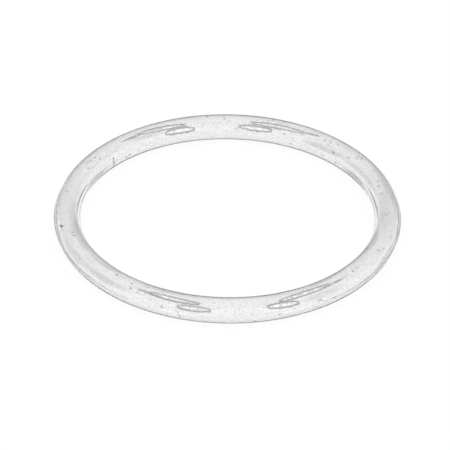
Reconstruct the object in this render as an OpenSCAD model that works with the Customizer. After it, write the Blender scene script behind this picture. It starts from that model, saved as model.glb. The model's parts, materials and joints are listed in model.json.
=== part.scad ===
// Moulded filter seal ring of round section.
// The ring lies flat: its axis is Z and its centre is the origin. Sizes are in millimetres.

/* [Ring] */
// Inside diameter between the round sections, without the flash
inner_d = 40.87; // [12:0.01:120]
// Diameter of the round section
section_d = 3.53; // [1.78:0.01:6.99]

/* [Parting line] */
// Width of the trimmed flash at its tip, measured along the axis
flash_tip_w = 0.12; // [0.05:0.01:0.2]
// Width of the flash where it leaves the round section
flash_root_w = 0.3; // [0.2:0.01:0.6]
// Height of the trimmed flash above the inside of the ring
flash_inner_h = 0.05; // [0.02:0.01:0.15]
// Height of the trimmed flash above the outside of the ring
flash_outer_h = 0.07; // [0.02:0.01:0.15]

/* [Hidden] */
// Facets of a full turn about the ring's axis, and of the round section
turn_facets = 240;
section_facets = 96;
// Radius of the round section, and of the circle through the sections' centres
section_r = section_d / 2;
pitch_r = inner_d / 2 + section_r;

// Distance from the section's centre to the chord of this width across its outline
function chord_depth(width) = sqrt(pow(section_r, 2) - pow(width / 2, 2));

// Web in the section plane that runs through the rubber at half height and stands out of it on
// both sides as flash: each side flares out from a short land at its tip to its root
module flash_outline() {
    inner_tip_x = -section_r - flash_inner_h;
    outer_tip_x = section_r + flash_outer_h;
    root_x = chord_depth(flash_root_w);
    tip_y = flash_tip_w / 2;
    root_y = flash_root_w / 2;
    polygon([
        [inner_tip_x, -tip_y],
        [-root_x, -root_y],
        [root_x, -root_y],
        [outer_tip_x, -tip_y],
        [outer_tip_x, tip_y],
        [root_x, root_y],
        [-root_x, root_y],
        [inner_tip_x, tip_y],
    ]);
}

// Outline of the rubber in the section plane, centred on the section: the round cord with the
// flash that the two mould halves leave on its inner and its outer side
module section_outline() {
    circle(r = section_r, $fn = section_facets);
    flash_outline();
}

// The ring: its section turned once about the axis
module seal_ring() {
    color("gainsboro")
        rotate_extrude($fn = turn_facets)
            translate([pitch_r, 0]) section_outline();
}

seal_ring();
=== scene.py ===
"""Looks of the filter seal ring: one clear moulded ring with its marks and dust, and its studio."""

import json
import logging
import math
from dataclasses import dataclass
from enum import Enum
from typing import Any, Dict, List, Optional, Tuple, Union

import bpy
import numpy as np
from mathutils import Matrix, Vector


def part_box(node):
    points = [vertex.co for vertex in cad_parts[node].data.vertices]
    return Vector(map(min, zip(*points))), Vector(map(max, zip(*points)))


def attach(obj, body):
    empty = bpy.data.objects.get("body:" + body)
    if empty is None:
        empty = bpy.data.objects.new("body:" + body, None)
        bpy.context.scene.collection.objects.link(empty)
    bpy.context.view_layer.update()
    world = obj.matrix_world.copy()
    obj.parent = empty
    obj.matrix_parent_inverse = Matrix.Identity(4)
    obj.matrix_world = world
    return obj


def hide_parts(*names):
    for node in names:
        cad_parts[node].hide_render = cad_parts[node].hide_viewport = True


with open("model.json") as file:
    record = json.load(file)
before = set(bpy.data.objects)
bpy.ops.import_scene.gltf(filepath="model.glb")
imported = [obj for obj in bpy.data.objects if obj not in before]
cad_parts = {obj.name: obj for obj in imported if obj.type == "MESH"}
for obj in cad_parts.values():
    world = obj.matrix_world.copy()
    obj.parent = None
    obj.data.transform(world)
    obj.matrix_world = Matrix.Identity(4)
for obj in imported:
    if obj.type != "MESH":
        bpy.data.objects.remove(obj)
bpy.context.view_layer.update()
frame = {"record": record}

log = logging.getLogger("seal_ring")

MM = 0.001
NODE = "seal_ring"
BODY = "root"

Pixel = Tuple[float, float]
Number = Union[int, float]


class Signal:
    """A shader socket in an expression: each operator on it adds one Math node."""

    def __init__(self, bench: "NodeBench", socket: bpy.types.NodeSocket) -> None:
        """Keep the socket and the bench that its nodes are made on."""
        self.bench = bench
        self.socket = socket

    def _math(self, operation: str, first: "Operand", second: "Operand" = 0.0) -> "Signal":
        """Make a Math node of two operands.

        Args:
            operation: Blender's name for what the node works out.
            first: Left operand, a signal or a number.
            second: Right operand, a signal or a number.

        Returns:
            The node's result as a new signal.
        """
        node = self.bench.make(
            "ShaderNodeMath", {"operation": operation}, {0: first, 1: second}
        )
        return Signal(self.bench, node.outputs[0])

    def __add__(self, other: "Operand") -> "Signal":
        """Sum of this and other."""
        return self._math("ADD", self, other)

    __radd__ = __add__

    def __sub__(self, other: "Operand") -> "Signal":
        """This less other."""
        return self._math("SUBTRACT", self, other)

    def __rsub__(self, other: "Operand") -> "Signal":
        """Other less this."""
        return self._math("SUBTRACT", other, self)

    def __mul__(self, other: "Operand") -> "Signal":
        """Product of this and other."""
        return self._math("MULTIPLY", self, other)

    __rmul__ = __mul__

    def __truediv__(self, other: "Operand") -> "Signal":
        """This over other."""
        return self._math("DIVIDE", self, other)

    def __pow__(self, other: "Operand") -> "Signal":
        """This raised to other."""
        return self._math("POWER", self, other)

    def __abs__(self) -> "Signal":
        """Size of this without its sign."""
        return self._math("ABSOLUTE", self)

    def larger(self, other: "Operand") -> "Signal":
        """The larger of this and other."""
        return self._math("MAXIMUM", self, other)

    def smaller(self, other: "Operand") -> "Signal":
        """The smaller of this and other."""
        return self._math("MINIMUM", self, other)

    def fade(self, near: float, far: float) -> "Signal":
        """Go in an S-curve from 1 at near to 0 at far, whichever of the two is the larger.

        Args:
            near: Value at which the result is 1, as it is on the side away from far.
            far: Value at which the result is 0, as it is on the side away from near.

        Returns:
            The faded signal, between 0 and 1.
        """
        node = self.bench.make(
            "ShaderNodeMapRange",
            {"interpolation_type": "SMOOTHSTEP", "clamp": True},
            {"Value": self, "From Min": near, "From Max": far, "To Min": 1.0, "To Max": 0.0},
        )
        return Signal(self.bench, node.outputs["Result"])


Operand = Union[Signal, Number]


class NodeBench:
    """A material's node tree, on which every node is made by one method."""

    def __init__(self, name: str) -> None:
        """Start an empty material of this name."""
        self.material = bpy.data.materials.new(name)
        self.material.use_nodes = True
        self.tree = self.material.node_tree
        self.tree.nodes.clear()

    def make(
        self,
        kind: str,
        settings: Optional[Dict[str, Any]] = None,
        inputs: Optional[Dict[Union[int, str], Any]] = None,
    ) -> bpy.types.Node:
        """Make one node.

        Args:
            kind: The node's type.
            settings: The node's own properties, which are set first.
            inputs: A value, a signal or an output socket for each input, by name or place.

        Returns:
            The new node.
        """
        node = self.tree.nodes.new(kind)
        for name, value in (settings or {}).items():
            setattr(node, name, value)
        for key, value in (inputs or {}).items():
            socket = node.inputs[key]
            if isinstance(value, Signal):
                self.tree.links.new(value.socket, socket)
            elif isinstance(value, bpy.types.NodeSocket):
                self.tree.links.new(value, socket)
            else:
                socket.default_value = value
        return node

    def signal(self, node: bpy.types.Node, output: Union[int, str] = 0) -> Signal:
        """An output of a node, ready for an expression."""
        return Signal(self, node.outputs[output])

    def noise(self, place: Any, size: float, detail: float, roughness: float) -> Signal:
        """Make a cloudy pattern.

        Args:
            place: The vector at which the pattern is read.
            size: Length of one cloud, in metres.
            detail: Number of finer layers.
            roughness: Weight of each finer layer against the one before.

        Returns:
            The pattern, about 0.5 on average.
        """
        node = self.make(
            "ShaderNodeTexNoise",
            {"noise_dimensions": "3D"},
            {"Vector": place, "Scale": 1.0 / size, "Detail": detail, "Roughness": roughness},
        )
        return self.signal(node, "Fac")

    def blend_colour(self, factor: Operand, dark: "Grey", pale: "Grey") -> bpy.types.NodeSocket:
        """Colour between two greys.

        Args:
            factor: 0 for the dark grey, 1 for the pale one.
            dark: The grey at 0.
            pale: The grey at 1.

        Returns:
            The colour's socket.
        """
        colour_factor, colour_a, colour_b, colour_result = 0, 6, 7, 2
        node = self.make(
            "ShaderNodeMix",
            {"data_type": "RGBA", "clamp_factor": True},
            {colour_factor: factor, colour_a: dark.rgba, colour_b: pale.rgba},
        )
        return node.outputs[colour_result]

    def finish(self, shader: bpy.types.NodeSocket) -> bpy.types.Material:
        """Link the surface's shader to the material's output and hand the material over."""
        self.make("ShaderNodeOutputMaterial", None, {"Surface": shader})
        return self.material


@dataclass(frozen=True)
class Grey:
    """A grey of one linear tone."""

    tone: float

    @property
    def rgba(self) -> Tuple[float, float, float, float]:
        """The grey as an opaque colour."""
        return (self.tone, self.tone, self.tone, 1.0)


@dataclass(frozen=True)
class RingForm:
    """Sizes of the ring in metres, and its surface as a function of two angles.

    phi runs round the ring's axis from +X toward +Y. theta runs round the section from straight
    outward, over the top, to straight inward.
    """

    pitch_r: float
    section_r: float
    inner_flash_h: float
    outer_flash_h: float
    flash_tip_w: float = 0.12 * MM
    flash_root_w: float = 0.30 * MM

    @classmethod
    def from_frame(cls, node: str, outer_flash_h: float = 0.07 * MM) -> "RingForm":
        """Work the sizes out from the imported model.

        Args:
            node: Name of the ring's CAD node.
            outer_flash_h: Height of the trimmed flash above the outside of the ring.

        Returns:
            The ring's form.
        """
        low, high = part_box(node)
        seats = {mount["name"]: mount["dims"] for mount in frame["record"]["mounts"]}
        section_r = (high.z - low.z) / 2
        pitch_r = (high.x - low.x) / 2 - outer_flash_h - section_r
        inner_tip_r = seats["inner_seat"]["r_mm"] * MM
        return cls(pitch_r, section_r, pitch_r - section_r - inner_tip_r, outer_flash_h)

    def reach(self, theta: np.ndarray) -> np.ndarray:
        """Distance of the section's outline from its centre.

        It is the cord's radius, plus the flash's height where the outline is within the flash:
        the height is whole across the tip's width and falls in an S-curve to 0 at the root's.

        Args:
            theta: Angles round the section.

        Returns:
            The distances, in metres.
        """
        off_plane = self.section_r * np.abs(np.sin(theta))
        tip, root = self.flash_tip_w / 2, self.flash_root_w / 2
        down = np.clip((off_plane - tip) / (root - tip), 0.0, 1.0)
        height = np.where(np.cos(theta) > 0, self.outer_flash_h, self.inner_flash_h)
        return self.section_r + height * (1 - down * down * (3 - 2 * down))

    def place(self, phi: np.ndarray, theta: np.ndarray, lift: Any = 0.0) -> np.ndarray:
        """Points on the ring's surface or above it.

        A point lies at the pitch radius plus the cosine of theta times the reach along the ring's
        radius, and at the sine of theta times the reach along its axis.

        Args:
            phi: Angles round the ring.
            theta: Angles round the section.
            lift: Height above the surface, in metres.

        Returns:
            The points, with x, y and z in the last dimension.
        """
        phi, theta = np.broadcast_arrays(phi, theta)
        reach = self.reach(theta) + lift
        out = self.pitch_r + reach * np.cos(theta)
        return np.stack([out * np.cos(phi), out * np.sin(phi), reach * np.sin(theta)], -1)

    def meet(
        self, eye: np.ndarray, sight: np.ndarray
    ) -> Tuple[np.ndarray, np.ndarray, np.ndarray]:
        """Find where lines of sight first meet the round cord.

        Each point moves along its line by its own distance from the cord, again and again, so it
        comes to rest where the line touches it.

        Args:
            eye: Where the lines start.
            sight: The lines' directions, of length 1, one in each row.

        Returns:
            phi and theta of each point, and how far it is from the cord still.
        """
        steps = 300
        reach = np.full(len(sight), np.linalg.norm(eye) - 2 * self.pitch_r)
        for _ in range(steps):
            point = eye + reach[:, None] * sight
            out = np.hypot(point[:, 0], point[:, 1]) - self.pitch_r
            gap = np.hypot(out, point[:, 2]) - self.section_r
            reach = reach + gap
        return np.arctan2(point[:, 1], point[:, 0]), np.arctan2(point[:, 2], out), np.abs(gap)


@dataclass(frozen=True)
class PhotoView:
    """The camera that sees the ring as the photograph does."""

    form: RingForm
    elevation_deg: float = 35.0
    roll_deg: float = 0.787
    distance_in_pitch_radii: float = 29.54
    focal_px: float = 4736.3
    frame_px: float = 450.0
    ring_centre_px: Pixel = (227.48, 216.03)
    sensor_mm: float = 36.0
    nearest: float = 0.01
    farthest: float = 10.0
    largest_miss: float = 0.02 * MM

    @property
    def distance(self) -> float:
        """Distance from the ring's centre to the camera's plane."""
        return self.distance_in_pitch_radii * self.form.pitch_r

    def axes(self) -> Tuple[Vector, Vector, Vector]:
        """The camera's right, up and backward directions."""
        elevation, roll = math.radians(self.elevation_deg), math.radians(self.roll_deg)
        backward = Vector((0.0, -math.cos(elevation), math.sin(elevation)))
        level = Vector((1.0, 0.0, 0.0))
        upright = backward.cross(level)
        right = level * math.cos(roll) + upright * math.sin(roll)
        return right, upright * math.cos(roll) - level * math.sin(roll), backward

    def eye(self) -> Vector:
        """Where the camera stands, so that the ring's centre falls on its pixel."""
        right, upward, backward = self.axes()
        metres_per_px = self.distance / self.focal_px
        middle = self.frame_px / 2
        aside = (middle - self.ring_centre_px[0]) * metres_per_px
        above = (self.ring_centre_px[1] - middle) * metres_per_px
        return backward * self.distance + right * aside + upward * above

    def on_ring(self, pixels: List[Pixel]) -> Tuple[np.ndarray, np.ndarray]:
        """Find what the photograph's pixels show of the ring.

        Args:
            pixels: Places in the photograph.

        Returns:
            phi and theta of each place on the ring, each the shorter way from the one before.

        Raises:
            ValueError: One of the places is beside the ring.
        """
        right, upward, backward = (np.array(axis) for axis in self.axes())
        offset = np.array(pixels, float) - self.frame_px / 2
        sight = offset[:, :1] * right - offset[:, 1:] * upward - self.focal_px * backward
        sight /= np.linalg.norm(sight, axis=1, keepdims=True)
        phi, theta, gap = self.form.meet(np.array(self.eye()), sight)
        for pixel, miss in zip(pixels, gap):
            if miss > self.largest_miss:
                raise ValueError(f"the photograph shows no ring at {pixel}")
        return np.unwrap(phi), np.unwrap(theta)

    def build(self) -> bpy.types.Object:
        """Make the scene's camera.

        Returns:
            The camera's object.
        """
        data = bpy.data.cameras.new("photo_view")
        data.sensor_width = self.sensor_mm
        data.lens = self.focal_px * self.sensor_mm / self.frame_px
        data.clip_start = self.nearest
        data.clip_end = self.farthest
        camera = bpy.data.objects.new("photo_view", data)
        turned = Matrix(self.axes()).transposed().to_4x4()
        camera.matrix_world = Matrix.Translation(self.eye()) @ turned
        bpy.context.scene.collection.objects.link(camera)
        bpy.context.scene.camera = camera
        return camera


class MarkKind(Enum):
    """What a mark on the ring looks like."""

    # Painted dark outline round where a lamp's highlight falls
    HIGHLIGHT_OUTLINE = "painted grey outline round a lamp's highlight"
    # Painted soft shade
    PAINTED_SHADE = "soft grey streak"
    LINE = "fine dark line"
    BUBBLE = "small open bubble with a dark rim"


@dataclass(frozen=True)
class Mark:
    """A mark on the ring's surface, placed by what the photograph shows.

    left and right are its two ends. upper and lower are its two sides at half length, and a mark
    without them has the given half width instead. stray is how far the edge of a painted
    highlight outline leaves its ellipse where the outline is most uneven.
    """

    kind: MarkKind
    left: Pixel
    right: Pixel
    upper: Optional[Pixel] = None
    lower: Optional[Pixel] = None
    half_width: float = 0.1 * MM
    strength: float = 1.0
    stray: float = 0.25 * MM


@dataclass(frozen=True)
class MarkShape:
    """A mark as a bowed ellipse on the unrolled surface, in millimetres.

    along runs round the ring and across runs round the section, both as lengths from the mark's
    centre. They are turned by the mark's slant, and across is pulled back by the bow, which is
    whole at half length and 0 at the ends.
    """

    kind: MarkKind
    centre_u: float
    centre_v: float
    round_mm: float
    section_mm: float
    half_length: float
    half_width: float
    slant: float
    bow: float
    strength: float
    stray: float

    @classmethod
    def of(cls, mark: Mark, view: PhotoView) -> "MarkShape":
        """Lay a mark on the ring.

        Args:
            mark: The mark.
            view: The camera whose pixels place it.

        Returns:
            The mark's shape on the surface.
        """
        sides = [mark.upper, mark.lower] if mark.upper and mark.lower else []
        phi, theta = view.on_ring([mark.left, mark.right] + sides)
        form = view.form
        round_r = (form.pitch_r + form.section_r * math.cos(float(theta.mean()))) / MM
        section_r = form.section_r / MM
        along, across = phi * round_r, theta * section_r
        length = math.hypot(along[1] - along[0], across[1] - across[0])
        slant = math.atan2(across[1] - across[0], along[1] - along[0])
        middle = np.array([along[:2].mean(), across[:2].mean()])
        half_width, bow = mark.half_width / MM, 0.0
        if sides:
            crosswise = np.array([-math.sin(slant), math.cos(slant)])
            reach = (np.stack([along[2:], across[2:]], -1) - middle) @ crosswise
            half_width, bow = abs(float(reach[0] - reach[1])) / 2, float(reach.mean())
        return cls(
            kind=mark.kind,
            centre_u=Unrolled.u(middle[0] / round_r),
            centre_v=Unrolled.v(middle[1] / section_r),
            round_mm=2 * math.pi * round_r,
            section_mm=2 * math.pi * section_r,
            half_length=length / 2,
            half_width=half_width,
            slant=slant,
            bow=bow,
            strength=mark.strength,
            stray=mark.stray / MM,
        )

    def ellipse(self, u: Signal, v: Signal) -> Tuple[Signal, Signal, Signal]:
        """Where a point lies against the ellipse.

        Args:
            u: Share of the way round the ring.
            v: Share of the way round the section.

        Returns:
            Squares of the shares of the half length and of the half width, and the root of their
            sum, which is 1 on the ellipse.
        """
        along = (u - self.centre_u) * self.round_mm
        across = (v - self.centre_v) * self.section_mm
        cos, sin = math.cos(self.slant), math.sin(self.slant)
        length_share = along * (cos / self.half_length) + across * (sin / self.half_length)
        length_square = length_share * length_share
        bowed = self.bow / self.half_width
        width_share = (
            across * (cos / self.half_width)
            - along * (sin / self.half_width)
            - (1 - length_square) * bowed
        )
        width_square = width_share * width_share
        return length_square, width_square, (length_square + width_square) ** 0.5

    def edge_distance(self, u: Signal, v: Signal) -> Signal:
        """Distance outward from the ellipse, in millimetres.

        It is the ellipse's function, k (k - 1), over the length of its gradient, which is the root
        of the two squares each over its half size squared.

        Args:
            u: Share of the way round the ring.
            v: Share of the way round the section.

        Returns:
            The distance, less than 0 inside.
        """
        length_square, width_square, k = self.ellipse(u, v)
        steepness = (
            length_square * (self.half_length ** -2) + width_square * (self.half_width ** -2)
        ) ** 0.5
        return (k * k - k) / steepness


class Unrolled:
    """The ring's surface unrolled into its UV map, with its seams where no mark is.

    u starts at the front of the ring and v starts at the underside of the section.
    """

    START = -math.pi / 2

    @classmethod
    def u(cls, phi: float) -> float:
        """Share of the way round the ring at phi."""
        return ((phi - cls.START) / (2 * math.pi)) % 1.0

    @classmethod
    def v(cls, theta: float) -> float:
        """Share of the way round the section at theta."""
        return ((theta - cls.START) / (2 * math.pi)) % 1.0


@dataclass(frozen=True)
class SiliconeFinish:
    """Clear moulded silicone rubber: glossy, a little milky, with darker edges from its tinted skin
    and from a painted dark rim.

    An effect begins at the value whose name ends in from and is whole at the one that ends in to.
    A mark is whole as far as near and gone at far. Upper and lower mean above and below the
    parting line.
    """

    body: Grey = Grey(0.99)
    # Dark grey of the marks: real damage, and painted shade and painted highlight outlines
    mark_and_shade_grey: Grey = Grey(0.04)
    clearness: float = 0.75
    ior: float = 1.41
    dullness: float = 0.07
    milk: float = 0.5
    milk_depth: float = 1.0 * MM
    skin: Grey = Grey(0.935)
    skin_ior: float = 1.0005
    skin_dullness: float = 0.05
    # Painted edge shade: a near-black gloss mixed in where the surface turns away
    rim: Grey = Grey(0.08)
    rim_dullness: float = 0.15
    upper_rim_gain: float = 1.25
    crosswise_rim_gain: float = 2.05
    crosswise_from: float = 0.84
    crosswise_to: float = 0.97
    upper_rim_power: float = 4.0
    upper_rim_from: float = 1.20 * MM
    upper_rim_to: float = 1.50 * MM
    lower_rim_gain: float = 17.0
    lower_rim_power: float = 12.0
    lower_skin: float = 0.55
    upper_skin_from: float = 0.90 * MM
    upper_skin_to: float = 1.42 * MM
    lower_skin_from: float = -0.52 * MM
    lower_skin_to: float = -0.90 * MM
    grain_size: float = 0.25 * MM
    grain_depth: float = 0.9
    grain_dullness: float = 0.06
    cloud_size: float = 5.0 * MM
    cloud_depth: float = 0.08
    streak_size: float = 0.5 * MM
    streak_depth: float = 0.10
    streak_slowness: float = 0.12
    blotch_size: float = 0.5 * MM
    mark_and_shade_dullness: float = 0.25
    # Painted dark outlines round the lamps' highlights
    outline_line_mm: float = 0.21
    outline_line_core: float = 0.2
    outline_darkness: float = 0.70
    outline_fill: float = 0.6
    outline_fill_near: float = 0.42
    outline_fill_far: float = 0.58
    # Painted soft shade
    shade_darkness: float = 0.6
    shade_near: float = 0.35
    shade_blotches: float = 2.0
    shade_grain: float = 4.2
    # Darkness of a fine line: real nicks, cracks and the bubble, and painted shade just inside the
    # outline at the ring's two ends
    line_darkness: float = 0.8
    line_near: float = 0.5
    bubble_near: float = 0.9
    bubble_far: float = 1.15
    bubble_heart_near: float = 0.2
    bubble_heart_far: float = 0.5
    bubble_heart_paleness: float = 0.5
    pore_height: float = 0.004 * MM

    def streaks(self, bench: NodeBench, x: Signal, y: Signal, out: Signal, z: Signal) -> Signal:
        """Streaks that run round the ring, as the mould's polish leaves them.

        They are noise in four dimensions: the distance from the axis and the height change fast,
        and x and y change slowly, so a streak follows the ring and closes on itself.

        Args:
            bench: The material's bench.
            x: Place along the object's X.
            y: Place along the object's Y.
            out: Distance from the object's axis.
            z: Height.

        Returns:
            The streaks, about 0.5 on average.
        """
        slow = self.streak_slowness
        point = bench.make("ShaderNodeCombineXYZ", None, {"X": out, "Y": z, "Z": x * slow})
        node = bench.make(
            "ShaderNodeTexNoise",
            {"noise_dimensions": "4D"},
            {
                "Vector": point.outputs["Vector"],
                "W": y * (slow / self.streak_size),
                "Scale": 1.0 / self.streak_size,
                "Detail": 2.0,
            },
        )
        return bench.signal(node, "Fac")

    def marks_and_shade(
        self, shapes: List[MarkShape], u: Signal, v: Signal, blotches: Signal, grain: Signal
    ) -> Signal:
        """How much of the pale body's tone the marks take away: real damage, and painted shade and
        painted highlight outlines.

        A highlight outline is a painted dark line along its strayed ellipse, and is filled in part
        where the blotches are dark. Painted shade fades outward and is broken up by the blotches and
        the grain, whose factor is about 1 on average. A line and a bubble end at their ellipses, and
        a bubble has a pale heart.

        Args:
            shapes: The marks.
            u: Share of the way round the ring.
            v: Share of the way round the section.
            blotches: A cloudy pattern, about 0.5 on average.
            grain: A finer pattern, about 0.5 on average.

        Returns:
            The strongest mark's share at each point, from 0 to 1.
        """
        fill = blotches.fade(self.outline_fill_near, self.outline_fill_far) * self.outline_fill
        broken = (
            blotches * self.shade_blotches
            + grain * self.shade_grain
            - 0.5 * self.shade_grain
        )
        total: Operand = 0.0
        for shape in shapes:
            # Painted highlight outline: a dark line round a lamp's highlight, partly filled in
            if shape.kind is MarkKind.HIGHLIGHT_OUTLINE:
                edge = shape.edge_distance(u, v) + (blotches - 0.5) * (2 * shape.stray)
                line = abs(edge).fade(self.outline_line_core * self.outline_line_mm, self.outline_line_mm)
                cover = line.larger(edge.fade(-self.outline_line_mm, 0.0) * fill)
                depth = self.outline_darkness
            # Painted soft shade, broken up by the blotches and the grain
            elif shape.kind is MarkKind.PAINTED_SHADE:
                cover = shape.ellipse(u, v)[2].fade(self.shade_near, 1.0) * broken
                depth = self.shade_darkness
            elif shape.kind is MarkKind.LINE:
                cover = shape.ellipse(u, v)[2].fade(self.line_near, 1.0)
                depth = self.line_darkness
            else:
                share = shape.ellipse(u, v)[2]
                heart = share.fade(self.bubble_heart_near, self.bubble_heart_far)
                cover = share.fade(self.bubble_near, self.bubble_far) * (
                    1 - heart * self.bubble_heart_paleness
                )
                depth = self.line_darkness
            layer = cover * (depth * shape.strength)
            total = layer.larger(total)
        return total

    def rim_share(self, bench: NodeBench, height: Signal, crosswise: Signal) -> Signal:
        """How much of the painted dark rim, a near-black gloss standing in for edge shade, shows
        where the surface turns away.

        It is a power of the facing term, with one gain above the parting line and one below it.
        The gain above is larger where the cord runs crosswise.

        Args:
            bench: The material's bench.
            height: Height above the parting line.
            crosswise: Share of the way from the ring's two ends to its front and back.

        Returns:
            The share, from 0 to 1.
        """
        facing = bench.signal(bench.make("ShaderNodeLayerWeight", None, {"Blend": 0.5}), "Facing")
        upper_gain = (
            crosswise.fade(self.crosswise_to, self.crosswise_from)
            * (self.crosswise_rim_gain - self.upper_rim_gain)
            + self.upper_rim_gain
        )
        upper = height.fade(self.upper_rim_to, self.upper_rim_from) * upper_gain
        lower = height.fade(self.lower_skin_to, self.lower_skin_from) * self.lower_rim_gain
        return (
            upper * facing ** self.upper_rim_power + lower * facing ** self.lower_rim_power
        ).smaller(1.0)

    def material(self, name: str, shapes: List[MarkShape]) -> bpy.types.Material:
        """Make the rubber's material.

        Args:
            name: The material's name.
            shapes: The marks on it.

        Returns:
            The material.
        """
        bench = NodeBench(name)
        place = bench.make("ShaderNodeTexCoord").outputs["Object"]
        chart = bench.make("ShaderNodeSeparateXYZ", None, {
            "Vector": bench.make("ShaderNodeUVMap", {"uv_map": "surface"}).outputs["UV"],
        })
        u, v = bench.signal(chart, "X"), bench.signal(chart, "Y")
        grain = bench.noise(place, self.grain_size, 3.0, 0.75)
        clouds = bench.noise(place, self.cloud_size, 3.0, 0.6)
        blotches = bench.noise(place, self.blotch_size, 3.0, 0.65)
        split = bench.make("ShaderNodeSeparateXYZ", None, {"Vector": place})
        x, y, height = (bench.signal(split, axis) for axis in ("X", "Y", "Z"))
        out = (x * x + y * y) ** 0.5
        streaks = self.streaks(bench, x, y, out, height)
        marks_and_shade = self.marks_and_shade(shapes, u, v, blotches, grain)
        upper = height.fade(self.upper_skin_to, self.upper_skin_from)
        lower = height.fade(self.lower_skin_to, self.lower_skin_from)
        cast = (
            (grain - 0.5).smaller(0.0) * (2 * self.grain_depth)
            + (clouds - 0.5).smaller(0.0) * (2 * self.cloud_depth)
            + (streaks - 0.5).smaller(0.0) * (2 * self.streak_depth)
        )
        # The marks darken the tone: real damage, and painted shade and painted highlight outlines
        tone = (cast + 1) * (1 - marks_and_shade)
        roughness = (grain - 0.5) * self.grain_dullness + (
            marks_and_shade * self.mark_and_shade_dullness + self.dullness
        )
        bump = bench.make(
            "ShaderNodeBump",
            None,
            {"Strength": 1.0, "Distance": self.pore_height, "Height": grain + streaks * 0.5},
        )
        rubber = bench.make(
            "ShaderNodeBsdfPrincipled",
            None,
            {
                "Base Color": bench.blend_colour(tone, self.mark_and_shade_grey, self.body),
                "Roughness": roughness,
                "IOR": self.ior,
                "Transmission Weight": self.clearness,
                "Subsurface Weight": self.milk,
                "Subsurface Radius": (1.0, 1.0, 1.0),
                "Subsurface Scale": self.milk_depth,
                "Coat Weight": upper + lower * self.lower_skin,
                "Coat Roughness": self.skin_dullness,
                "Coat IOR": self.skin_ior,
                "Coat Tint": self.skin.rgba,
                "Normal": bump.outputs["Normal"],
            },
        )
        # Painted edge shade: near-black gloss mixed in where the surface turns away darkens the
        # outline
        rim = bench.make(
            "ShaderNodeBsdfGlossy", None, {"Color": self.rim.rgba, "Roughness": self.rim_dullness}
        )
        with_painted_rim = bench.make(
            "ShaderNodeMixShader",
            None,
            {
                "Fac": self.rim_share(bench, height, abs(y) / out),
                1: rubber.outputs["BSDF"],
                2: rim.outputs["BSDF"],
            },
        )
        return bench.finish(with_painted_rim.outputs["Shader"])


@dataclass(frozen=True)
class DustFinish:
    """Dull grey dust, uneven in tone from grain to grain."""

    dark: Grey = Grey(0.10)
    pale: Grey = Grey(0.30)
    roughness: float = 0.85
    patch_size: float = 0.15 * MM
    patch_height: float = 0.01 * MM

    def material(self, name: str) -> bpy.types.Material:
        """Make the dust's material.

        Args:
            name: The material's name.

        Returns:
            The material.
        """
        bench = NodeBench(name)
        place = bench.make("ShaderNodeTexCoord").outputs["Object"]
        patches = bench.noise(place, self.patch_size, 2.0, 0.6)
        bump = bench.make(
            "ShaderNodeBump",
            None,
            {"Strength": 1.0, "Distance": self.patch_height, "Height": patches},
        )
        dust = bench.make(
            "ShaderNodeBsdfPrincipled",
            None,
            {
                "Base Color": bench.blend_colour(patches, self.dark, self.pale),
                "Roughness": self.roughness,
                "Normal": bump.outputs["Normal"],
            },
        )
        return bench.finish(dust.outputs["BSDF"])


@dataclass(frozen=True)
class FloorFinish:
    """Plain pale studio floor that looks white and keeps a little of the ring's shadow."""

    paint: Grey = Grey(0.87)
    white: Grey = Grey(1.0)
    shadow_share: float = 0.08

    def material(self, name: str) -> bpy.types.Material:
        """Make the floor's material.

        Args:
            name: The material's name.

        Returns:
            The material.
        """
        bench = NodeBench(name)
        ray = bench.make("ShaderNodeLightPath")
        seen = (
            bench.signal(ray, "Is Camera Ray")
            .larger(bench.signal(ray, "Is Glossy Ray"))
            .larger(bench.signal(ray, "Is Transmission Ray"))
        )
        paint = bench.make("ShaderNodeBsdfDiffuse", None, {"Color": self.paint.rgba})
        glow = bench.make("ShaderNodeEmission", None, {"Color": self.white.rgba, "Strength": 1.0})
        both = bench.make(
            "ShaderNodeMixShader",
            None,
            {
                "Fac": seen * (1 - self.shadow_share),
                1: paint.outputs["BSDF"],
                2: glow.outputs["Emission"],
            },
        )
        return bench.finish(both.outputs["Shader"])


def mesh_object(
    name: str, points: np.ndarray, faces: np.ndarray, material: bpy.types.Material
) -> bpy.types.Object:
    """Make a smooth mesh object at the origin.

    Args:
        name: The object's name.
        points: Its points, one in each row.
        faces: Its faces as rows of point numbers, all with as many corners.
        material: Its material.

    Returns:
        The object, linked to the scene.
    """
    mesh = bpy.data.meshes.new(name)
    corners = faces.shape[1]
    mesh.vertices.add(len(points))
    mesh.vertices.foreach_set("co", points.astype(np.float32).ravel())
    mesh.loops.add(faces.size)
    mesh.loops.foreach_set("vertex_index", faces.astype(np.int32).ravel())
    mesh.polygons.add(len(faces))
    mesh.polygons.foreach_set("loop_start", np.arange(0, faces.size, corners, dtype=np.int32))
    mesh.polygons.foreach_set("use_smooth", np.ones(len(faces), dtype=bool))
    mesh.update(calc_edges=True)
    mesh.validate()
    mesh.materials.append(material)
    piece = bpy.data.objects.new(name, mesh)
    bpy.context.scene.collection.objects.link(piece)
    return piece


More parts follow.
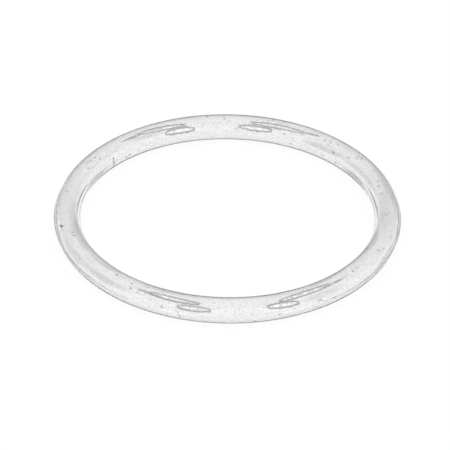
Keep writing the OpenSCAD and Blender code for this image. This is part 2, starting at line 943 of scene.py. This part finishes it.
@dataclass(frozen=True)
class SealRing:
    """The moulded ring: its surface, its UV map and its finish."""

    form: RingForm
    finish: SiliconeFinish
    shapes: List[MarkShape]
    turn_steps: int = 720
    section_steps: int = 120
    flash_crowding: float = 0.85

    def angles(self) -> Tuple[np.ndarray, np.ndarray]:
        """Grid lines round the ring and round the section.

        Round the section, theta is an even angle w less half the crowding times the sine of 2 w,
        which draws the lines together at the flash.

        Returns:
            phi and theta of the grid lines, each with its start repeated a full turn later.
        """
        turn = 2 * math.pi
        phi = Unrolled.START + turn * np.arange(self.turn_steps + 1) / self.turn_steps
        even = Unrolled.START + turn * np.arange(self.section_steps + 1) / self.section_steps
        return phi, even - self.flash_crowding / 2 * np.sin(2 * even)

    def build(self) -> bpy.types.Object:
        """Make the ring as one closed grid, and dress it.

        Returns:
            The ring's object.
        """
        phi, theta = self.angles()
        points = self.form.place(phi[:-1, None], theta[None, :-1])
        turn, section = np.meshgrid(
            np.arange(self.turn_steps), np.arange(self.section_steps), indexing="ij"
        )
        next_turn, next_section = turn + 1, section + 1
        corner_turn = np.stack([turn, next_turn, next_turn, turn], -1).reshape(-1, 4)
        corner_section = np.stack([section, section, next_section, next_section], -1).reshape(-1, 4)
        faces = (
            corner_turn % self.turn_steps * self.section_steps
            + corner_section % self.section_steps
        )
        material = self.finish.material("clear_silicone", self.shapes)
        ring = mesh_object("moulded_ring", points.reshape(-1, 3), faces, material)
        full = 2 * math.pi
        chart = np.stack([
            (phi[corner_turn] - Unrolled.START) / full,
            (theta[corner_section] - Unrolled.START) / full,
        ], -1)
        layer = ring.data.uv_layers.new(name="surface")
        layer.data.foreach_set("uv", chart.astype(np.float32).ravel())
        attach(ring, BODY)
        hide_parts(NODE)
        return ring


class GrainSize(Enum):
    """Radius of a grain of dust, in metres."""

    FINE = 0.088 * MM
    MIDDLE = 0.112 * MM
    COARSE = 0.13 * MM


@dataclass(frozen=True)
class SurfaceDust:
    """Grains of dust and lint that lie on the ring, each where the photograph shows it."""

    view: PhotoView
    finish: DustFinish
    grains: Dict[str, Dict[GrainSize, List[Pixel]]]
    lint: Dict[str, Pixel]
    lint_r: float = 0.09 * MM
    lint_half_length: float = 0.22 * MM
    height_share: float = 0.65
    longest_share: float = 1.35
    unevenness: float = 0.18
    sunk: float = 0.01 * MM
    sides: int = 8
    tiers: int = 4
    seed: int = 41

    def lump(self) -> Tuple[np.ndarray, np.ndarray]:
        """A closed round lump of radius 1.

        Its points lie on circles, at the sine of the tier's angle from the middle and the cosine
        of that angle above it, with one point at the top and one at the bottom.

        Returns:
            Its points and its triangles.
        """
        rise = np.linspace(0, math.pi, self.tiers + 1)[1:-1, None]
        turn = np.linspace(0, 2 * math.pi, self.sides, endpoint=False)[None, :]
        circles = np.stack([
            np.sin(rise) * np.cos(turn),
            np.sin(rise) * np.sin(turn),
            np.cos(rise) + 0 * turn,
        ], -1).reshape(-1, 3)
        points = np.vstack([circles, [[0.0, 0.0, 1.0]], [[0.0, 0.0, -1.0]]])
        top, bottom = len(circles), len(circles) + 1
        here = np.arange(self.sides)
        after = (here + 1) % self.sides
        last = len(circles) - self.sides
        upper = np.arange(self.tiers - 2)[:, None] * self.sides
        a, b = (upper + here).ravel(), (upper + after).ravel()
        c, d = b + self.sides, a + self.sides
        triangles = np.vstack([
            np.stack([np.full_like(here, top), here, after], -1),
            np.stack([a, d, c], -1),
            np.stack([a, c, b], -1),
            np.stack([np.full_like(here, bottom), last + after, last + here], -1),
        ])
        return points, triangles

    def build(self) -> bpy.types.Object:
        """Lay every grain on the ring, in one mesh.

        A lump's first axis is turned at random in the surface, its second lies across it, and its
        third is the surface's normal. Lint lies level in the photograph and is longer than wide.

        Returns:
            The dust's object.
        """
        rng = np.random.default_rng(self.seed)
        specks = [
            (pixel, size.value)
            for cluster in self.grains.values()
            for size, pixels in cluster.items()
            for pixel in pixels
        ] + [(pixel, self.lint_r) for pixel in self.lint.values()]
        count, grain_count = len(specks), len(specks) - len(self.lint)
        phi, theta = self.view.on_ring([pixel for pixel, _ in specks])
        base = self.view.form.place(phi, theta)
        out = np.stack([np.cos(phi), np.sin(phi), 0 * phi], -1)
        normal = np.cos(theta)[:, None] * out + np.sin(theta)[:, None] * [[0.0, 0.0, 1.0]]
        level = np.array(self.view.axes()[0])[None, :]
        level = level - (level * normal).sum(1, keepdims=True) * normal
        level /= np.linalg.norm(level, axis=1, keepdims=True)
        sideways = np.cross(normal, level)
        spin = rng.uniform(0, math.pi, (count, 1))
        spin[grain_count:] = 0
        first = np.cos(spin) * level + np.sin(spin) * sideways
        second = np.cross(normal, first)
        size = np.array([[radius] for _, radius in specks])
        longer = size * rng.uniform(1.0, self.longest_share, (count, 1))
        longer[grain_count:] = self.lint_half_length
        lump, triangles = self.lump()
        rough = 1 + self.unevenness * rng.uniform(-1, 1, (count, len(lump), 1))
        offset = (
            lump[None, :, :1] * (first * longer)[:, None]
            + lump[None, :, 1:2] * (second * size)[:, None]
            + lump[None, :, 2:] * (normal * size * self.height_share)[:, None]
        )
        points = base[:, None] + offset * rough - self.sunk * normal[:, None]
        shift = np.arange(count)[:, None, None] * len(lump)
        faces = (triangles[None] + shift).reshape(-1, 3)
        material = self.finish.material("dull_dust")
        dust = mesh_object("surface_dust", points.reshape(-1, 3), faces, material)
        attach(dust, BODY)
        return dust


@dataclass(frozen=True)
class SoftBox:
    """A rectangular studio lamp that points at the ring.

    azimuth is counted from the back of the ring toward +X, and radiance is how bright its face
    looks, where the white of the photograph is 1.
    """

    name: str
    azimuth_deg: float
    elevation_deg: float
    width: float
    height: float
    radiance: float
    distance: float = 0.30

    def build(self) -> bpy.types.Object:
        """Make the lamp.

        Its power is its radiance times pi times its area.

        Returns:
            The lamp's object.
        """
        azimuth, elevation = math.radians(self.azimuth_deg), math.radians(self.elevation_deg)
        toward = Vector((
            math.cos(elevation) * math.sin(azimuth),
            math.cos(elevation) * math.cos(azimuth),
            math.sin(elevation),
        ))
        data = bpy.data.lights.new(self.name, "AREA")
        data.shape = "RECTANGLE"
        data.size = self.width
        data.size_y = self.height
        data.energy = self.radiance * math.pi * self.width * self.height
        lamp = bpy.data.objects.new(self.name, data)
        lamp.location = toward * self.distance
        lamp.rotation_euler = (-toward).to_track_quat("-Z", "Y").to_euler()
        bpy.context.scene.collection.objects.link(lamp)
        return lamp


@dataclass(frozen=True)
class Studio:
    """The plain floor, the soft lamps and the even light around the ring."""

    form: RingForm
    floor_finish: FloorFinish
    lamps: Tuple[SoftBox, ...]
    surround: Grey = Grey(0.95)
    floor_half: float = 1.5

    def build(self) -> List[bpy.types.Object]:
        """Make the floor under the ring, the lamps and the world.

        Returns:
            The floor's object and the lamps' objects.
        """
        half, level = self.floor_half, -self.form.section_r
        points = np.array([
            [-half, -half, level], [half, -half, level], [half, half, level], [-half, half, level],
        ])
        material = self.floor_finish.material("studio_floor")
        floor = mesh_object("studio_floor", points, np.array([[0, 1, 2, 3]]), material)
        world = bpy.data.worlds.new("even_light")
        world.use_nodes = True
        world.node_tree.nodes["Background"].inputs["Color"].default_value = self.surround.rgba
        bpy.context.scene.world = world
        bpy.context.scene.view_settings.view_transform = "Standard"
        return [floor] + [lamp.build() for lamp in self.lamps]


# Painted dark outlines round the lamps' highlights, two on each quarter of the ring, a long one and a
# short one beside it
HIGHLIGHT_OUTLINES = {
    "front left, long": Mark(
        MarkKind.HIGHLIGHT_OUTLINE, (150.5, 293.0), (197.6, 303.9), (174.0, 297.6), (174.0, 301.2), stray=0.12 * MM
    ),
    "front left, short": Mark(
        MarkKind.HIGHLIGHT_OUTLINE, (177.6, 306.3), (209.6, 310.4), (193.0, 306.4), (192.0, 311.0), stray=0.12 * MM
    ),
    "front right, long": Mark(
        MarkKind.HIGHLIGHT_OUTLINE, (280.5, 301.0), (329.0, 284.6), (302.6, 292.0), (304.4, 295.4), stray=0.12 * MM
    ),
    "front right, short": Mark(
        MarkKind.HIGHLIGHT_OUTLINE, (268.0, 307.1), (298.4, 302.7), (283.0, 302.4), (283.0, 307.5), stray=0.12 * MM
    ),
    "back left, long": Mark(
        MarkKind.HIGHLIGHT_OUTLINE, (139.6, 134.2), (184.0, 125.3), (162.0, 126.8), (163.5, 130.0)
    ),
    "back left, short": Mark(
        MarkKind.HIGHLIGHT_OUTLINE, (166.0, 133.4), (194.0, 129.0), (179.6, 128.0), (180.0, 133.2)
    ),
    "back right, long": Mark(
        MarkKind.HIGHLIGHT_OUTLINE, (253.0, 123.0), (302.6, 132.6), (277.0, 124.6), (277.0, 128.2)
    ),
    "back right, short": Mark(
        MarkKind.HIGHLIGHT_OUTLINE, (239.6, 126.4), (271.0, 130.6), (255.5, 126.0), (255.5, 130.8)
    ),
}

# Painted shade: grey tails of the painted highlight outlines, broad grey bands, and the shade along
# the edges
PAINTED_SHADES = {
    "front left tail": Mark(
        MarkKind.PAINTED_SHADE, (133.0, 286.4), (169.0, 299.2), half_width=0.26 * MM, strength=1.2
    ),
    "front right tail": Mark(
        MarkKind.PAINTED_SHADE, (314.0, 290.6), (349.5, 274.8), half_width=0.24 * MM, strength=0.9
    ),
    "back left tail": Mark(
        MarkKind.PAINTED_SHADE, (118.0, 143.6), (146.0, 132.8), half_width=0.3 * MM, strength=1.1
    ),
    "back right tail": Mark(
        MarkKind.PAINTED_SHADE, (297.0, 131.6), (324.0, 137.6), half_width=0.24 * MM, strength=0.9
    ),
    "front left band, upper": Mark(
        MarkKind.PAINTED_SHADE, (60.6, 229.0), (104.0, 280.0), (79.5, 253.0), (73.0, 259.5), strength=0.44
    ),
    "front left band, lower": Mark(
        MarkKind.PAINTED_SHADE, (76.0, 254.0), (136.0, 293.6), (104.5, 274.5), (100.0, 281.5), strength=0.52
    ),
    "back right band, upper": Mark(
        MarkKind.PAINTED_SHADE, (295.0, 138.0), (352.0, 163.0), (325.0, 145.0), (322.2, 151.8), strength=0.52
    ),
    "back right band, lower": Mark(
        MarkKind.PAINTED_SHADE, (327.0, 150.0), (378.0, 201.0), (360.2, 167.0), (356.0, 172.6), strength=0.45
    ),
    "left end": Mark(
        MarkKind.PAINTED_SHADE, (70.0, 190.0), (72.0, 238.0), (66.5, 214.0), (78.0, 214.0), strength=0.25
    ),
    "right end": Mark(
        MarkKind.PAINTED_SHADE, (384.0, 178.0), (381.0, 250.0), (379.5, 214.0), (392.5, 214.0), strength=0.24
    ),
    "left inner shade": Mark(
        MarkKind.PAINTED_SHADE, (76.0, 206.0), (100.0, 261.0), (74.0, 237.0), (82.0, 233.0), strength=0.42
    ),
    "front left inner shade": Mark(
        MarkKind.PAINTED_SHADE, (86.0, 246.0), (132.0, 278.0), (102.0, 266.5), (105.5, 263.5), strength=0.4
    ),
    "right inner shade": Mark(
        MarkKind.PAINTED_SHADE, (377.0, 224.0), (350.0, 263.0), (369.0, 242.0), (375.0, 247.0), strength=0.4
    ),
    "right outer shade": Mark(
        MarkKind.PAINTED_SHADE, (370.0, 163.0), (396.5, 214.0), (382.5, 188.5), (388.5, 185.0), strength=0.4
    ),
    "left, inner upper edge": Mark(
        MarkKind.PAINTED_SHADE, (111.9, 166.4), (84.3, 195.2), half_width=0.9 * MM, strength=0.6
    ),
    "right, inner upper edge": Mark(
        MarkKind.PAINTED_SHADE, (336.9, 165.2), (368.4, 193.8), half_width=0.9 * MM, strength=0.8
    ),
    "front left, outer edge": Mark(
        MarkKind.PAINTED_SHADE, (60.5, 239.0), (85.0, 275.5), (70.6, 260.6), (73.4, 258.7), strength=0.2
    ),
    "front right, outer edge": Mark(
        MarkKind.PAINTED_SHADE, (395.0, 236.0), (370.0, 275.5), (386.2, 259.0), (382.6, 256.2), strength=0.45
    ),
    "front, inner shade": Mark(
        MarkKind.PAINTED_SHADE, (122.0, 274.0), (216.0, 298.6), half_width=0.7 * MM, strength=0.25
    ),
    "front right inner shade": Mark(
        MarkKind.PAINTED_SHADE, (350.0, 263.6), (288.0, 294.6), half_width=0.5 * MM, strength=0.4
    ),
    "back left, under the highlight outlines": Mark(
        MarkKind.PAINTED_SHADE, (124.0, 142.8), (173.0, 132.4), half_width=0.4 * MM, strength=0.38
    ),
    "front right, behind the highlight outlines": Mark(
        MarkKind.PAINTED_SHADE, (293.0, 303.4), (351.0, 281.2), half_width=0.65 * MM, strength=0.35
    ),
}

# Painted shade: fine dark lines that follow the ring just inside its outline at its two ends
RIM_SHADE_LINES = {
    "left, outer": Mark(
        MarkKind.LINE, (65.6, 181.5), (65.6, 250.0), (55.8, 215.0), (57.1, 215.0), strength=0.8
    ),
    "left, inner": Mark(
        MarkKind.LINE, (91.5, 180.0), (77.3, 218.0), (81.1, 193.7), (82.6, 194.3), strength=1.1
    ),
    "right, inner": Mark(
        MarkKind.LINE, (363.5, 181.5), (377.5, 224.0), (372.4, 198.4), (373.9, 197.6), strength=1.1
    ),
    "right, outer": Mark(
        MarkKind.LINE, (387.8, 184.5), (390.6, 249.5), (397.7, 215.0), (398.9, 215.0), strength=0.9
    ),
}

# Small faults in the rubber
DAMAGE = {
    "nick, upper half": Mark(
        MarkKind.LINE, (113.7, 157.0), (113.2, 163.0), half_width=0.13 * MM, strength=1.2
    ),
    "nick, lower half": Mark(
        MarkKind.LINE, (113.3, 160.5), (112.9, 167.6), half_width=0.17 * MM, strength=1.3
    ),
    "nick, turned end": Mark(MarkKind.LINE, (112.4, 158.9), (114.2, 157.3), half_width=0.11 * MM),
    "crack": Mark(
        MarkKind.LINE, (175.2, 309.0), (180.2, 318.6), (179.1, 313.4), (177.5, 313.8), strength=0.7
    ),
    "bubble": Mark(
        MarkKind.BUBBLE, (60.3, 225.2), (62.5, 227.1), (60.4, 227.2), (62.3, 225.0), strength=1.25
    ),
}

# Grains of dust by where they lie and how large they are
GRAINS = {
    "back rim": {
        GrainSize.FINE: [(237.4, 131.9)],
        GrainSize.MIDDLE: [(224.0, 118.3), (236.4, 128.3)],
        GrainSize.COARSE: [(207.0, 116.7)],
    },
    "back right, behind the highlight outlines": {
        GrainSize.FINE: [(268.0, 120.4), (281.6, 123.3), (284.6, 122.8), (292.5, 138.4)],
        GrainSize.MIDDLE: [(290.6, 143.4)],
        GrainSize.COARSE: [(273.3, 120.0), (284.4, 134.2)],
    },
    "back right shoulder": {
        GrainSize.FINE: [(328.6, 145.5), (322.0, 154.8), (345.0, 147.6), (360.6, 159.0)],
        GrainSize.MIDDLE: [
            (324.4, 140.3), (330.3, 142.9), (338.4, 144.3), (348.1, 157.6), (356.7, 158.7),
            (358.2, 156.3), (362.3, 158.4), (316.9, 135.5),
        ],
        GrainSize.COARSE: [(333.7, 152.2), (335.6, 162.8)],
    },
    "right end": {
        GrainSize.FINE: [
            (373.4, 175.6), (382.8, 194.0), (389.8, 212.6), (384.8, 223.6), (389.0, 223.6),
            (390.7, 237.2), (367.0, 165.9),
        ],
        GrainSize.MIDDLE: [
            (386.2, 214.7), (383.9, 248.5), (374.2, 170.4), (377.4, 181.0), (380.7, 193.6),
        ],
    },
    "front right": {
        GrainSize.MIDDLE: [
            (356.3, 267.8), (346.5, 275.7), (334.4, 297.3), (321.6, 299.9), (319.0, 300.5),
        ],
        GrainSize.COARSE: [(352.9, 271.1), (279.4, 314.3), (255.3, 321.3)],
    },
    "front left": {
        GrainSize.FINE: [(124.2, 278.5), (137.2, 292.3), (162.7, 292.2)],
        GrainSize.MIDDLE: [(131.5, 283.4), (130.4, 288.2), (148.0, 287.4)],
        GrainSize.COARSE: [(116.6, 274.6), (139.5, 289.7), (161.6, 306.8)],
    },
    "left end": {
        GrainSize.FINE: [(72.5, 186.5), (66.4, 203.8)],
        GrainSize.MIDDLE: [(72.5, 232.4)],
    },
    "back left, below the highlight outlines": {
        GrainSize.FINE: [(151.0, 145.3), (155.5, 143.6), (175.2, 121.0), (116.4, 159.6)],
    },
    "back left shoulder": {
        GrainSize.MIDDLE: [
            (129.4, 154.4), (126.8, 156.8), (90.8, 156.0), (95.0, 157.6), (90.4, 160.6),
            (87.8, 162.6), (88.5, 168.3),
        ],
        GrainSize.COARSE: [(100.2, 158.7)],
    },
}

# Short threads of lint
LINT = {
    "left end, upper": (66.8, 191.4),
    "left end, lower": (74.2, 235.4),
    "right end, upper": (379.0, 186.0),
    "right end, lower": (378.0, 250.4),
}

# Name, azimuth, elevation, width, height and radiance of each lamp
LAMPS = (
    SoftBox("right upper softbox", 76.0, 66.0, 0.09, 0.05, 7.0),
    SoftBox("left upper softbox", -92.0, 72.0, 0.12, 0.05, 7.0),
    SoftBox("right lower softbox", 141.0, 36.0, 0.07, 0.06, 7.0),
    SoftBox("left lower softbox", -158.0, 33.0, 0.08, 0.06, 7.0),
)


def main() -> None:
    """Build the ring, its dust and the studio."""
    logging.basicConfig(level=logging.INFO, format="%(name)s: %(message)s")
    form = RingForm.from_frame(NODE)
    view = PhotoView(form)
    view.build()
    marks = [*HIGHLIGHT_OUTLINES.values(), *PAINTED_SHADES.values(), *RIM_SHADE_LINES.values(), *DAMAGE.values()]
    shapes = [MarkShape.of(mark, view) for mark in marks]
    pieces = [
        SealRing(form, SiliconeFinish(), shapes).build(),
        SurfaceDust(view, DustFinish(), GRAINS, LINT).build(),
    ]
    for piece in pieces:
        log.info("%s: %d faces", piece.name, len(piece.data.polygons))
    for thing in Studio(form, FloorFinish(), LAMPS).build():
        log.info("%s is in the studio", thing.name)


if __name__ == "__main__":
    main()
